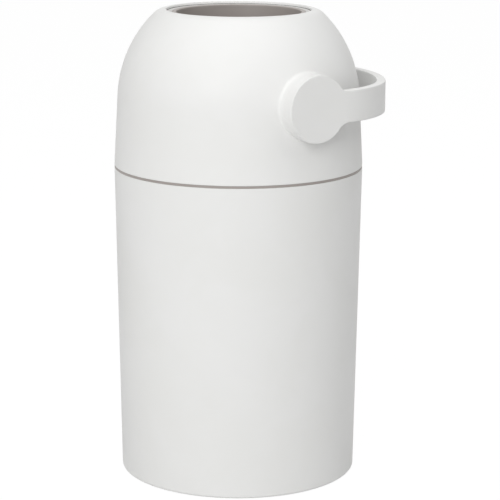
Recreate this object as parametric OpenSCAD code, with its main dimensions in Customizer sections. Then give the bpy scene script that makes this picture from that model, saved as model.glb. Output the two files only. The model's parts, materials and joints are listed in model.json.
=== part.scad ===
// Nappy bin with a tipping drum, all sizes in millimetres.
// Origin on the floor under the middle of the body, +Z up.
// +X runs along the handle's pivot, +Y points to the parked handle.

/* [Shells] */
// Height of the seam, where the lid stands on the grey ring
seam_h = 335; // [325:0.5:340]
// Width that the seam stands out past the dome's sphere
skirt_flare = 3.8; // [3:0.1:5]
// Width by which the body narrows from the seam to the floor
body_taper = 5.9; // [3:0.1:9]
// Wall of the body
body_wall = 3; // [2.4:0.1:3.6]
// Wall of the dome
dome_wall = 2.6; // [2:0.1:3]
// Round on the body's bottom edge
base_round = 3; // [1:0.5:5]
// Bevel on the two edges that face the seam
seam_bevel = 0.5; // [0.2:0.1:0.8]

/* [Floor and foot] */
// Thickness of the body's floor
floor_t = 5; // [4:0.5:8]
// Height that the foot ring holds the body off the ground
foot_lift = 1; // [0.5:0.5:2]
// Distance from the body's side in to the middle of the foot ring
foot_inset = 13.5; // [12:0.5:20]
// Width of the foot ring
foot_w = 10; // [6:1:14]
// Depth of the groove that holds the foot ring
foot_groove = 2; // [1:0.5:3]
// Width of the flat land between the foot ring and the recess in the underside
recess_land = 10; // [6:1:20]
// Depth of that recess
recess_d = 2; // [1:0.5:2.5]
// Number of stiffening ribs in that recess
recess_ribs = 8; // [4:1:12]
// Thickness of those ribs
recess_rib_t = 2; // [1.5:0.5:3]

/* [Grey ring] */
// Height of the grey ring that shows in the seam
ring_show = 2.5; // [1.5:0.1:4]
// Step from the shells in to the grey ring
ring_inset = 0.2; // [0:0.1:0.5]
// Wall of the grey ring
ring_wall = 2.5; // [2:0.1:3]
// Depth of the ring's collar inside the body
collar_d = 13.5; // [11:0.5:20]
// Height of the ring's spigot inside the lid
spigot_h = 4; // [3:0.5:6]
// Width of the ledge that carries the bag ring
ledge_w = 7.4; // [5:0.1:9]
// Thickness of that ledge
ledge_t = 2.4; // [2:0.1:3]
// Number of notches in the spigot that locate the lid
notch_count = 4; // [2:1:8]
// Width of each notch
notch_w = 12; // [8:1:20]

/* [Bag ring] */
// Height of the bag ring
bag_ring_h = 9.4; // [7:0.1:9.4]
// Wall of the bag ring
bag_ring_wall = 2.4; // [2:0.1:3]
// Width of the flange that lies on the ledge
bag_flange_w = 5.6; // [4:0.1:6]
// Angle that each of the two finger tabs spans
tab_angle = 24; // [10:1:40]
// Length of each finger tab towards the middle
tab_l = 7; // [4:0.5:8]
// Thickness of the finger tabs
tab_t = 2; // [1.5:0.1:3]

/* [Dome] */
// Outer radius of the dome's sphere
dome_r = 128.6; // [128:0.1:130]
// Height of that sphere's middle above the seam
dome_rise = 68.275; // [66:0.025:70]
// Round between the dome and its flat lip
lip_round = 16; // [10:0.5:17]
// Thickness of the lip at the mouth
lip_t = 2.2; // [1.8:0.1:2.2]
// Radius of the mouth
mouth_r = 76.5; // [74:0.1:80]
// Width of the flat part of the lip
lip_flat_w = 2; // [1:0.1:4]
// Height of the gasket between the lid and the grey ring
gasket_h = 2.2; // [1.5:0.1:3]
// Thickness of the ledge over that gasket
gasket_ledge_t = 2; // [1.6:0.1:3]
// Thickness of the ribs inside the dome
rib_t = 2; // [1.6:0.1:3]

/* [Handle] */
// Height of the pivot above the middle of the dome's sphere
pivot_rise = 7.725; // [5:0.025:10]
// Radius of the round hubs
hub_r = 34.8; // [32:0.1:38]
// Thickness of the hubs
hub_t = 11.4; // [10.8:0.1:13]
// Gap between a hub and the dome's raised boss
hub_gap = 0.4; // [0.3:0.1:0.8]
// Height that the boss stands out from the dome's sphere
boss_step = 2.8; // [2.4:0.1:4]
// Skin of the boss
boss_skin = 2.6; // [2:0.1:3]
// Height of the grip band
grip_h = 33.2; // [26:0.1:36]
// Thickness of the grip band
grip_t = 9.4; // [7:0.1:10.4]
// Straight length of the band beside the pivot
grip_straight = 33.8; // [25:0.1:40]
// Distance that the band stands out past the dome at its middle
grip_out = 24.4; // [22:0.1:32]
// Distance from the bin's middle to the centre of each of the band's bends
bend_in = 37.4; // [34:0.1:60]
// Fillet between a hub and the band's upper edge, as parked
grip_fillet = 9.5; // [5:0.5:14]
// Fillet between a hub and the band's lower edge
grip_fillet_low = 14; // [5:0.5:16]
// Round on the hub's outer edge
hub_edge = 1.2; // [0.4:0.1:2]

/* [Handle stop] */
// Distance from the hub's edge in to the stop peg
stop_in = 10.8; // [9:0.1:13]
// Radius of the stop peg
peg_r = 3; // [2:0.5:4]
// Height of the stop peg
peg_h = 4; // [2:0.5:4]
// Space between the peg and its groove
peg_gap = 0.4; // [0.3:0.1:0.6]
// Angle through which the handle swings
swing = 180; // [170:1:180]

/* [Axles] */
// Radius of the axles
axle_r = 8; // [7.8:0.1:9]
// Radial running clearance in the bushes
run_gap = 0.05; // [0.02:0.01:0.08]
// Wall of the bushes
bush_wall = 2.4; // [2:0.1:3]
// Thickness of the bush's flange
bush_flange_t = 2; // [1.6:0.1:2.4]
// Width that the bush's flange stands out
bush_flange_w = 3.5; // [3:0.1:5]
// Thickness of the soft odour seal on the axle
axle_seal_t = 2; // [1.5:0.1:2.2]
// Depth by which the square end's corners lie under the shaft's surface
drive_shoulder = 0.2; // [0.1:0.1:0.8]
// Length of the square end
drive_l = 3.9; // [3:0.1:4]
// Step from the shaft out to the block that the drum halves hold
key_step = 3; // [2:0.5:4]
// Thickness of that block
key_t = 8; // [6:0.5:9]
// Distance from the face of the drum's boss in to that block
key_cover = 9; // [7:0.5:11]
// Radius of every screw's shank
screw_r = 1.75; // [1.5:0.05:1.75]
// Radius of the screw's head
head_r = 3.8; // [3.2:0.1:4.5]
// Height of the screw's head
head_h = 3; // [2.4:0.1:4]
// Bevel on the screw's head
head_bevel = 0.8; // [0.3:0.1:1]
// Wall of the threaded insert in the hub
insert_wall = 1.2; // [0.8:0.1:1.6]
// Length of the threaded insert
insert_l = 4.6; // [3.5:0.1:5]

/* [Drum] */
// Depth of the drum's rim under the lip
rim_drop = 2.5; // [2.5:0.1:4]
// Gap between the drum's rim and the mouth
rim_gap = 0.5; // [0.5:0.1:1.5]
// Wall of the drum
drum_wall = 2.4; // [2:0.1:3]
// Width of the drum's flat rim
drum_rim_w = 5.4; // [4:0.1:7]
// Height that the axle bosses stand out of the drum
drum_boss = 1.8; // [1.2:0.1:2]
// Width of those bosses outside the odour seal
drum_boss_w = 2; // [1:0.5:4]
// Wall of the pockets round the key blocks
pocket_wall = 3; // [2:0.5:4]
// Height of the tongue where the drum's halves meet
tongue_h = 4; // [3:0.5:6]
// Thickness of that tongue
tongue_t = 2; // [1.6:0.1:2.4]

/* [Cup] */
// Width of the flange round the cup's top, measured from its inside
cup_flange_w = 4.6; // [4:0.1:8]
// Width by which the cup narrows to its bottom
cup_taper = 4; // [2:0.5:10]
// Wall of the cup
cup_wall = 2; // [1.6:0.1:2]
// Height of the cup's floor above the drum's lowest point
cup_floor_up = 27.2; // [27:0.1:34]
// Round inside the cup's bottom corner
cup_round = 8; // [4:1:30]
// Radius at which the cup's screws stand
cup_screw_at = 22; // [15:1:30]
// Number of cup screws
cup_screws_n = 3; // [3:1:6]
// Length of the cup screws under their heads
cup_screw_l = 12; // [8:1:16]

/* [Cradle] */
// Thickness of the cradle's plate
cradle_t = 2.4; // [2:0.1:3]
// Height of the cradle's plate above the seam
cradle_up = 1; // [0.5:0.5:2]
// Distance from the drum's seal face to the inner edge of the cradle's plate
cradle_gap = 4; // [3:0.5:6]
// Step from the wiper ring out to the chute that hangs below the plate
chute_step = 9; // [5:0.5:11]
// Length of that chute
chute_l = 18; // [8:1:22]
// Height of the soft wiper ring
wiper_h = 3; // [2:0.5:4]
// Width of the wiper ring on the plate
wiper_w = 7; // [5:0.5:9]
// Wall of the lip that holds the wiper ring
wiper_lip_t = 2; // [1.5:0.1:3]
// Distance from the plate's edge in to the cradle's screws
cradle_screw_in = 7; // [6.5:0.1:8]
// Number of cradle screws
cradle_screws_n = 4; // [3:1:6]
// Radius of the screw bosses in the dome
screw_boss_r = 4.5; // [4:0.1:4.6]
// Length of the screw bosses
screw_boss_l = 20; // [14:1:24]
// Solid end of the screw bosses, beyond their bores
boss_end_t = 2; // [1:0.5:4]
// Free depth of a bore beyond the screw's tip
tip_room = 4; // [2:0.5:6]

/* [Fits] */
// Gap between two hard pieces that stay together
seat_gap = 0.2; // [0.1:0.05:0.3]
// Gap between the lid and the ring that it lifts off
lift_gap = 0.5; // [0.4:0.1:0.8]
// Gap between a soft seal and the drum
seal_gap = 0.35; // [0.3:0.05:0.6]
// Gap between a soft seal and the edge of the mouth
mouth_seal_gap = 0.8; // [0.5:0.1:1.5]
// Radial interference of a screw in its boss, as a wider bore
thread_gap = 0.1; // [0.05:0.05:0.2]
// Depth to which ribs and lips run into the wall that carries them
root = 1; // [0.5:0.1:1.2]

/* [Hidden] */
$fn = 128;
eps = 0.01;
// Lap by which a round crosses the faces that it blends into
blend_lap = 0.02;
far = 400;

white = [0.93, 0.93, 0.93];
grey = [0.52, 0.50, 0.48];
soft_grey = [0.35, 0.35, 0.35];
dark = [0.20, 0.20, 0.21];
metal = [0.72, 0.73, 0.75];
brass = [0.78, 0.66, 0.38];

// Body
seam_r = dome_r + skirt_flare;
base_r = seam_r - body_taper;
foot_r = base_r - foot_inset;
recess_r = foot_r - foot_w / 2 - recess_land;
body_top = seam_h - ring_show;
cone_slope = (seam_r - base_r) / seam_h;
function cone_r(z) = base_r + cone_slope * z;
body_in_top_r = cone_r(body_top) - body_wall;
ring_r = seam_r - ring_inset;

// Grey ring
collar_bottom = body_top - collar_d;
collar_r = cone_r(collar_bottom) - body_wall - seat_gap;
ring_in_r = collar_r - ring_wall;
ledge_top = collar_bottom + ledge_t;
spigot_top = seam_h + spigot_h;

// Dome: the skirt is a cone that touches the sphere
dome_mid_h = seam_h + dome_rise;
dome_mid = [0, dome_mid_h];
seam_edge = [seam_r, seam_h];
skirt_d = norm(dome_mid - seam_edge);
skirt_angle = atan2(dome_mid[1] - seam_edge[1], -seam_edge[0]) - asin(dome_r / skirt_d);
skirt_l = sqrt(skirt_d * skirt_d - dome_r * dome_r);
skirt_dir = [cos(skirt_angle), sin(skirt_angle)];
skirt_top = seam_edge + skirt_l * skirt_dir;
skirt_out = [skirt_dir[1], -skirt_dir[0]];
dome_in_r = dome_r - dome_wall;
skirt_in_top = skirt_top - dome_wall * skirt_out;
skirt_in_foot = seam_edge - dome_wall * skirt_out;
function skirt_in_r(z) =
    skirt_in_foot[0] + (z - skirt_in_foot[1]) * skirt_dir[0] / skirt_dir[1];
lip_mid_r = mouth_r + lip_flat_w;
lip_mid = [lip_mid_r, dome_mid_h + sqrt(pow(dome_r - lip_round, 2) - pow(lip_mid_r, 2))];
lip_h = lip_mid[1] + lip_round;
lip_under = lip_h - lip_t;
mouth_seal_out_r = sqrt(pow(dome_in_r, 2) - pow(lip_under - dome_mid_h, 2)) - seat_gap;
boss_x = dome_r + boss_step;

// Hubs and handle, along +X from the middle
pivot_h = dome_mid_h + pivot_rise;
hub_in_x = boss_x + hub_gap;
hub_x = hub_in_x + hub_t;
stop_r = hub_r - stop_in;
grip_reach = dome_r + grip_out;
grip_bend_r = hub_x - bend_in;
crown_b = grip_reach - grip_straight;
crown_r = (pow(bend_in, 2) + pow(crown_b, 2) - pow(grip_bend_r, 2))
    / (2 * (crown_b - grip_bend_r));
crown_mid_y = grip_reach - crown_r;
bend_mid = [bend_in, grip_straight];
crown_from = atan2(bend_mid[1] - crown_mid_y, bend_mid[0]);
function fillet_mid(radius) = [sqrt(pow(hub_r + radius, 2) - pow(grip_h / 2 + radius, 2)),
    grip_h / 2 + radius];

// Drum
drum_rim_r = mouth_r - rim_gap;
drum_rim_h = lip_h - rim_drop;
drum_r = norm([drum_rim_r, drum_rim_h - pivot_h]);
drum_in_r = drum_r - drum_wall;
seal_r = drum_r + seal_gap;
function seal_r_at(z) = sqrt(pow(seal_r, 2) - pow(z - pivot_h, 2));
cup_mouth_r = drum_rim_r - drum_rim_w;
cup_flange_r = cup_mouth_r - seat_gap;
cup_r = cup_mouth_r - cup_flange_w;
cup_base_r = cup_r - cup_taper;
cup_seat_h = drum_rim_h - cup_wall;
cup_out_r = cup_r + cup_wall;
cup_floor_h = pivot_h - drum_r + cup_floor_up;
drum_boss_x = drum_r + drum_boss;

// Axle stack, along +X from the middle
bush_in_x = drum_boss_x + axle_seal_t + seat_gap;
bush_r = axle_r + run_gap + bush_wall;
bush_flange_r = bush_r + bush_flange_w;
drum_boss_r = bush_flange_r + drum_boss_w;
dome_boss_in_x = bush_in_x + bush_flange_t;
key_w = 2 * (axle_r + key_step);
key_out_x = drum_boss_x - key_cover;
key_x = key_out_x - key_t;
drive_w = sqrt(2) * (axle_r - drive_shoulder);
drive_x = hub_in_x;
drive_end_x = drive_x + drive_l;
pocket_end_x = drive_end_x + seat_gap;
screw_end_x = pocket_end_x + insert_l;

// Cradle
cradle_bottom = seam_h + cradle_up;
cradle_top = cradle_bottom + cradle_t;
cradle_r = ring_in_r - lift_gap;
cradle_in_r = seal_r_at(cradle_top) + cradle_gap;
wiper_r = cradle_in_r + wiper_w;
chute_r = wiper_r + chute_step;
cradle_screw_at = cradle_r - cradle_screw_in;
gasket_ledge_h = spigot_top + gasket_h;

// A profile turned round the upright axis
module turned() {
    rotate_extrude() children();
}

// A plain ring
module ring_band(inner, outer, bottom, top) {
    turned() translate([inner, bottom]) square([outer - inner, top - bottom]);
}

// A cylinder along the pivot from x0 to x1
module on_pivot(x0, x1, r) {
    translate([x0, 0, pivot_h]) rotate([0, 90, 0]) cylinder(r = r, h = x1 - x0);
}

// A block square to the pivot from x0 to x1
module pivot_block(x0, x1, width, height) {
    translate([x0, -width / 2, pivot_h - height / 2]) cube([x1 - x0, width, height]);
}

// The same shape on both sides of the body
module both_sides() {
    children();
    mirror([1, 0, 0]) children();
}

// Copies in equal steps round the upright axis
module around(count, start = 0) {
    for (i = [0 : count - 1]) rotate([0, 0, start + i * 360 / count]) children();
}

// Half section of a cup whose straight side leans and whose bottom corner is round
module cup_section(base_side, top_side, bottom, top, corner) {
    lean = atan((top_side - base_side) / (top - bottom));
    mid = [base_side + tan(lean) * corner - corner / cos(lean), bottom + corner];
    polygon([[0, bottom], [mid[0], bottom], mid + corner * [cos(lean), -sin(lean)],
        [top_side, top], [0, top]]);
    translate(mid) circle(corner);
}

// A screw that stands on its tip side down, its head's seat at height 0
module screw(shank_r, length) {
    difference() {
        union() {
            cylinder(r = head_r, h = head_h - head_bevel);
            translate([0, 0, head_h - head_bevel])
                cylinder(r1 = head_r, r2 = head_r - head_bevel, h = head_bevel);
            translate([0, 0, -length]) cylinder(r = shank_r, h = length + eps);
        }
        translate([0, 0, head_h / 2]) cylinder(r = head_r / 2, h = head_h, $fn = 6);
    }
}

module body_shell() {
    inner_floor = foot_lift + floor_t;
    color(white) union() {
        difference() {
            turned() difference() {
                union() {
                    cup_section(cone_r(foot_lift), cone_r(body_top - seam_bevel),
                        foot_lift, body_top - seam_bevel, base_round);
                    polygon([[0, body_top - root],
                        [cone_r(body_top - root) - seam_bevel, body_top - root],
                        [cone_r(body_top - seam_bevel), body_top - seam_bevel],
                        [cone_r(body_top) - seam_bevel, body_top], [0, body_top]]);
                }
                polygon([[0, inner_floor], [cone_r(inner_floor) - body_wall, inner_floor],
                    [body_in_top_r, body_top + eps], [0, body_top + eps]]);
            }
            ring_band(foot_r - foot_w / 2, foot_r + foot_w / 2, 0, foot_lift + foot_groove);
            cylinder(r = recess_r, h = foot_lift + recess_d);
        }
        around(recess_ribs)
            translate([0, -recess_rib_t / 2, foot_lift])
                cube([recess_r + root, recess_rib_t, recess_d + root]);
    }
}

module foot_ring() {
    color(soft_grey)
        ring_band(foot_r - foot_w / 2 + seat_gap, foot_r + foot_w / 2 - seat_gap,
            0, foot_lift + foot_groove);
}

module rim_ring() {
    color(grey) difference() {
        union() {
            ring_band(ring_in_r, ring_r, body_top, seam_h);
            ring_band(ring_in_r, collar_r, collar_bottom, spigot_top);
            ring_band(ring_in_r - ledge_w, ring_in_r + root, collar_bottom, ledge_top);
        }
        around(notch_count)
            translate([ring_in_r - root, -notch_w / 2, seam_h])
                cube([2 * ring_wall, notch_w, spigot_h + root]);
    }
}

module bag_ring() {
    outer = ring_in_r - lift_gap;
    inner = outer - bag_ring_wall;
    top = ledge_top + bag_ring_h;
    color(grey) {
        ring_band(inner, outer, ledge_top, top);
        ring_band(outer - bag_flange_w, outer - root, ledge_top, ledge_top + bag_ring_wall);
        for (side = [0, 180])
            rotate([0, 0, side + 90 - tab_angle / 2])
                rotate_extrude(angle = tab_angle)
                    translate([inner - tab_l, top - tab_t]) square([tab_l + root, tab_t]);
    }
}

// Half section of the dome's outside: skirt, sphere, rounded lip
module dome_outside() {
    lip_dir = (lip_mid - dome_mid) / norm(lip_mid - dome_mid);
    lip_touch_h = dome_mid[1] + dome_r * lip_dir[1];
    intersection() {
        union() {
            polygon([[0, seam_h], [seam_r - seam_bevel, seam_h],
                seam_edge + seam_bevel * skirt_dir, skirt_top, [0, skirt_top[1]]]);
            intersection() {
                translate(dome_mid) circle(dome_r);
                translate([0, skirt_top[1] - root])
                    square([far, lip_touch_h - skirt_top[1] + root]);
            }
            translate([0, lip_touch_h - root]) square([lip_mid[0], lip_h - lip_touch_h + root]);
            translate(lip_mid + blend_lap * (lip_dir + [0, 1])) circle(lip_round);
        }
        square([far, lip_h]);
    }
}

// Half section of the room inside the dome, under its lip
module dome_inside() {
    polygon([[0, seam_h - eps], skirt_in_foot - eps * skirt_dir, skirt_in_top,
        [0, skirt_in_top[1]]]);
    intersection() {
        translate(dome_mid) circle(dome_in_r);
        translate([0, skirt_in_top[1] - root])
            square([far, lip_under - skirt_in_top[1] + root]);
    }
    translate([0, lip_under - root]) square([mouth_r, lip_t + 2 * root]);
}

module dome_shell() {
    rib_in = mouth_seal_out_r + seat_gap;
    rib_bottom = pivot_h + sqrt(pow(drum_r + lift_gap + root, 2) - pow(rib_in, 2));
    lug_w = notch_w - 2 * lift_gap;
    core_x = boss_x - boss_skin;
    core_r = hub_r - boss_skin;
    color(white) difference() {
        union() {
            difference() {
                union() {
                    turned() dome_outside();
                    both_sides() on_pivot(dome_in_r - hub_r / 2, boss_x, hub_r);
                }
                turned() dome_inside();
                both_sides() on_pivot(dome_in_r - hub_r / 2, core_x, core_r);
            }
            ring_band(rib_in, rib_in + rib_t, rib_bottom, lip_under - seat_gap);
            ring_band(ring_in_r + seat_gap, skirt_in_r(gasket_ledge_h) + root,
                gasket_ledge_h, gasket_ledge_h + gasket_ledge_t);
            around(notch_count)
                translate([ring_in_r + lift_gap, -lug_w / 2, seam_h + lift_gap])
                    cube([skirt_in_r(seam_h) + root - ring_in_r - lift_gap, lug_w,
                        spigot_h - 2 * lift_gap]);
            around(cradle_screws_n, 45) {
                translate([cradle_screw_at, 0, cradle_top])
                    cylinder(r = screw_boss_r, h = screw_boss_l);
                translate([cradle_screw_at, -rib_t / 2, gasket_ledge_h])
                    cube([skirt_in_r(seam_h) - cradle_screw_at, rib_t,
                        cradle_top + screw_boss_l - gasket_ledge_h]);
            }
            both_sides() {
                on_pivot(dome_boss_in_x, boss_x - root, bush_flange_r);
                translate([0, 0, pivot_h]) for (turn = [45 : 90 : 315])
                    rotate([turn, 0, 0])
                        translate([dome_boss_in_x + bush_flange_t, bush_r, -rib_t / 2])
                            cube([core_x - dome_boss_in_x - bush_flange_t + root,
                                core_r - bush_r + root, rib_t]);
                translate([0, 0, -stop_r]) on_pivot(boss_x - root, boss_x + peg_h, peg_r);
            }
        }
        both_sides() on_pivot(dome_boss_in_x - root, boss_x + root, bush_r + seat_gap / 2);
        around(cradle_screws_n, 45)
            translate([cradle_screw_at, 0, cradle_top - eps])
                cylinder(r = screw_r + thread_gap, h = screw_boss_l - boss_end_t);
    }
}

module mouth_seal() {
    inner = mouth_r + mouth_seal_gap;
    color(soft_grey) turned() difference() {
        translate([inner, pivot_h]) square([mouth_seal_out_r - inner, lip_under - pivot_h]);
        translate([0, pivot_h]) circle(seal_r);
    }
}

module lid_gasket() {
    color(soft_grey)
        ring_band(ring_in_r + lift_gap, skirt_in_r(gasket_ledge_h) - seat_gap,
            spigot_top, gasket_ledge_h);
}

module drum_cradle() {
    color(grey) difference() {
        union() {
            ring_band(cradle_in_r, cradle_r, cradle_bottom, cradle_top);
            ring_band(chute_r - cradle_t, chute_r, cradle_bottom - chute_l, cradle_top);
            ring_band(wiper_r + seat_gap, wiper_r + seat_gap + wiper_lip_t, cradle_top - root,
                cradle_top + wiper_h);
        }
        around(cradle_screws_n, 45)
            translate([cradle_screw_at, 0, cradle_bottom - root])
                cylinder(r = screw_r + seat_gap, h = cradle_t + 2 * root);
    }
}

module wiper_seal() {
    color(soft_grey) turned() difference() {
        translate([0, cradle_top]) square([wiper_r, wiper_h]);
        translate([0, pivot_h]) circle(seal_r);
    }
}

module cradle_screws() {
    color(metal) around(cradle_screws_n, 45)
        translate([cradle_screw_at, 0, cradle_bottom]) rotate([180, 0, 0])
            screw(screw_r, cradle_t + screw_boss_l - boss_end_t - tip_room);
}

module bush() {
    difference() {
        union() {
            on_pivot(bush_in_x, boss_x, bush_r);
            on_pivot(bush_in_x, dome_boss_in_x, bush_flange_r);
        }
        on_pivot(bush_in_x - root, boss_x + root, axle_r + run_gap);
    }
}

module left_bush() {
    color(white) mirror([1, 0, 0]) bush();
}

module right_bush() {
    color(white) bush();
}

// Plan of the band's outline, drawn in by inset from its outer face
module grip_outline(inset) {
    reach = 3 * grip_reach;
    translate([inset - hub_x, 0]) square([2 * (hub_x - inset), grip_straight]);
    for (side = [1, -1]) intersection() {
        translate([side * bend_mid[0], bend_mid[1]]) circle(grip_bend_r - inset);
        translate([-reach, grip_straight]) square(2 * reach);
    }
    intersection() {
        translate([0, crown_mid_y]) circle(crown_r - inset);
        polygon([[0, crown_mid_y], [0, crown_mid_y] + reach * [cos(crown_from), sin(crown_from)],
            [0, crown_mid_y] + reach * [-cos(crown_from), sin(crown_from)]]);
    }
}

module grip_band() {
    translate([0, 0, -grip_h / 2]) linear_extrude(grip_h) difference() {
        grip_outline(0);
        grip_outline(grip_t);
    }
}

// Web that rounds a corner between a hub and the band, side 1 above and -1 below
module grip_web(side, radius) {
    mid = fillet_mid(radius);
    touch = mid * hub_r / (hub_r + radius);
    translate([hub_x - grip_t + hub_edge, 0, 0]) rotate([90, 0, 90])
        linear_extrude(grip_t - 2 * hub_edge) difference() {
            polygon([[touch[0] - radius / 3, side * (touch[1] - radius / 3)],
                [touch[0], side * touch[1]],
                [mid[0], side * mid[1]],
                [mid[0], side * (grip_h / 2 - hub_edge)]]);
            translate([mid[0], side * mid[1]]) circle(radius);
        }
}

module hub() {
    translate([hub_in_x, 0, 0]) rotate([0, 90, 0]) rotate_extrude() {
        square([hub_r, hub_t - hub_edge]);
        square([hub_r - hub_edge, hub_t]);
        translate([hub_r - hub_edge, hub_t - hub_edge]) circle(hub_edge);
    }
}

// Arc groove in the hub's inner face, in which the dome's stop peg runs
module stop_groove() {
    half_w = peg_r + peg_gap;
    depth = peg_h - hub_gap + peg_gap;
    translate([hub_in_x, 0, 0]) rotate([0, 90, 0]) {
        rotate([0, 0, -swing]) translate([0, 0, -root]) rotate_extrude(angle = swing)
            translate([stop_r - half_w, 0]) square([2 * half_w, depth + root]);
        for (end = [0, -swing])
            rotate([0, 0, end]) translate([stop_r, 0, -root])
                cylinder(r = half_w, h = depth + root);
    }
}

module handle() {
    color(white) difference() {
        translate([0, 0, pivot_h]) {
            grip_band();
            both_sides() {
                grip_web(1, grip_fillet);
                grip_web(-1, grip_fillet_low);
                hub();
            }
        }
        both_sides() {
            translate([0, 0, pivot_h]) stop_groove();
            pivot_block(hub_in_x - root, pocket_end_x, drive_w + seat_gap, drive_w + seat_gap);
            on_pivot(pocket_end_x - root, screw_end_x + seat_gap,
                screw_r + insert_wall + seat_gap);
        }
    }
}

module handle_inserts() {
    color(brass) both_sides() difference() {
        on_pivot(pocket_end_x, screw_end_x, screw_r + insert_wall + seat_gap / 2);
        on_pivot(pocket_end_x - root, screw_end_x + root, screw_r + seat_gap / 2);
    }
}

module axle() {
    difference() {
        union() {
            pivot_block(key_x, key_out_x, key_w, key_w);
            on_pivot(key_out_x - root, drive_x, axle_r);
            pivot_block(drive_x - root, drive_end_x, drive_w, drive_w);
        }
        on_pivot(key_x - root, drive_end_x + root, screw_r + seat_gap);
        on_pivot(key_x - root, key_x + head_h, head_r + seat_gap);
    }
}

module left_axle() {
    color(dark) mirror([1, 0, 0]) axle();
}

module right_axle() {
    color(dark) axle();
}

module axle_screws() {
    color(metal) both_sides()
        translate([key_x + head_h, 0, pivot_h]) rotate([0, -90, 0])
            screw(screw_r, screw_end_x - key_x - head_h - seat_gap);
}

module axle_seals() {
    color(soft_grey) both_sides() difference() {
        on_pivot(drum_boss_x, drum_boss_x + axle_seal_t, bush_flange_r);
        on_pivot(drum_boss_x - root, drum_boss_x + axle_seal_t + root, axle_r + seat_gap);
    }
}

// Wall, axle bosses and key pockets that both halves of the drum share
module drum_ball() {
    pocket_w = key_w + 2 * pocket_wall;
    difference() {
        union() {
            translate([0, 0, pivot_h]) difference() {
                sphere(drum_r);
                sphere(drum_in_r);
            }
            both_sides() {
                on_pivot(key_out_x, drum_boss_x, drum_boss_r);
                intersection() {
                    pivot_block(key_x - pocket_wall, drum_r, pocket_w, pocket_w);
                    translate([0, 0, pivot_h]) sphere(drum_in_r + root);
                }
            }
        }
        both_sides() {
            pivot_block(key_x - seat_gap, key_out_x + seat_gap,
                key_w + 2 * seat_gap, key_w + 2 * seat_gap);
            on_pivot(key_x, drum_boss_x + root, axle_r + seat_gap);
        }
    }
}

module drum_upper() {
    ledge_in = cup_out_r + seat_gap;
    color(white) union() {
        intersection() {
            drum_ball();
            translate([-far, -far, pivot_h]) cube([2 * far, 2 * far, drum_rim_h - pivot_h]);
            turned() difference() {
                translate([0, pivot_h - root]) square([far, far]);
                translate([0, cup_seat_h - drum_wall]) square([ledge_in, far]);
                translate([0, cup_seat_h]) square([cup_mouth_r, far]);
            }
        }
        turned() difference() {
            intersection() {
                translate([ledge_in, cup_seat_h - drum_wall])
                    square([far, drum_rim_h - cup_seat_h + drum_wall]);
                translate([0, pivot_h]) circle(drum_in_r + root);
            }
            translate([0, cup_seat_h]) square([cup_mouth_r, far]);
        }
    }
}

module drum_lower() {
    tongue_in = drum_in_r - seat_gap - tongue_t;
    tongue_cut = 2 * (max(key_w / 2 + pocket_wall, drum_boss_r) + seat_gap);
    boss_foot = pivot_h - sqrt(pow(drum_in_r, 2) - pow(cup_screw_at, 2)) - root;
    color(white) difference() {
        union() {
            intersection() {
                drum_ball();
                translate([-far, -far, pivot_h - far]) cube([2 * far, 2 * far, far]);
            }
            ring_band(tongue_in, drum_in_r + root, pivot_h - tongue_h, pivot_h);
            difference() {
                ring_band(tongue_in, drum_in_r - seat_gap, pivot_h - tongue_h,
                    pivot_h + tongue_h);
                both_sides()
                    translate([0, -tongue_cut / 2, pivot_h])
                        cube([far, tongue_cut, tongue_h + root]);
            }
            around(cup_screws_n) translate([cup_screw_at, 0, boss_foot])
                cylinder(r = screw_boss_r, h = cup_floor_h - boss_foot);
        }
        both_sides() {
            pivot_block(key_x - seat_gap, key_out_x + seat_gap,
                key_w + 2 * seat_gap, key_w + 2 * seat_gap);
            on_pivot(key_x, drum_boss_x + root, axle_r + seat_gap);
        }
        around(cup_screws_n) translate([cup_screw_at, 0, cup_floor_h - cup_screw_l])
            cylinder(r = screw_r + thread_gap, h = cup_screw_l + root);
    }
}

module drum_cup() {
    color(grey) difference() {
        turned() difference() {
            union() {
                cup_section(cup_base_r + cup_wall, cup_out_r, cup_floor_h, drum_rim_h,
                    cup_round + cup_wall);
                translate([0, cup_seat_h]) square([cup_flange_r, cup_wall]);
            }
            cup_section(cup_base_r, cup_r + eps, cup_floor_h + cup_wall, drum_rim_h + eps,
                cup_round);
        }
        around(cup_screws_n) translate([cup_screw_at, 0, cup_floor_h - root])
            cylinder(r = screw_r + seat_gap, h = cup_wall + 2 * root);
    }
}

module cup_screws() {
    color(metal) around(cup_screws_n)
        translate([cup_screw_at, 0, cup_floor_h + cup_wall]) screw(screw_r, cup_screw_l);
}

body_shell();
foot_ring();
rim_ring();
bag_ring();
dome_shell();
mouth_seal();
lid_gasket();
drum_cradle();
wiper_seal();
cradle_screws();
left_bush();
right_bush();
handle();
handle_inserts();
left_axle();
right_axle();
axle_screws();
axle_seals();
drum_upper();
drum_lower();
drum_cup();
cup_screws();
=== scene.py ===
"""Looks of the nappy bin: shells, handle, drum and cup in moulded plastic, in a plain studio."""

import json
import logging
import math
from dataclasses import dataclass
from enum import Enum
from typing import ClassVar, Sequence

import bpy
from bpy import ops
from bpy.types import Material, Node, NodeTree, Object
from mathutils import Matrix, Vector


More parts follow.
